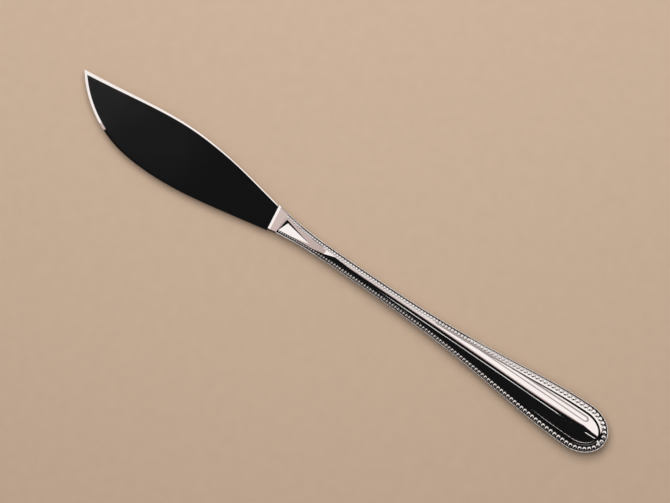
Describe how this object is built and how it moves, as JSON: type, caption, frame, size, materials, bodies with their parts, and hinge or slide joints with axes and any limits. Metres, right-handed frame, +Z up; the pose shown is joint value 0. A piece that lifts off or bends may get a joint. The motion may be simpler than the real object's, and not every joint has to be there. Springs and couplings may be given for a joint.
{
  "type": "fish knife",
  "caption": "Fish knife with a flat, blunt, upswept blade set through a bevelled collar in a slim domed hollow handle with a graded bead border on both faces.",
  "frame": {"origin": "centre of the bounding box in plan, on the surface that the knife lies on", "axes": "+X along the knife from the handle's end to the blade's tip, +Y to the cutting edge, +Z up out of the front face"},
  "size_m": [0.206, 0.0202, 0.0061],
  "materials": {
    "blade_steel": "mirror polished",
    "collar_metal": "mirror polished",
    "handle_metal": "mirror polished",
    "solder": "dull, wiped flush",
    "setting_compound": "cast, matte"
  },
  "bodies": {
    "root": {"blade": "blade_steel", "mouth_collar": "collar_metal", "front_shell": "handle_metal", "back_shell": "handle_metal", "seam_solder": "solder", "handle_filling": "setting_compound"}
  },
  "joints": []
}
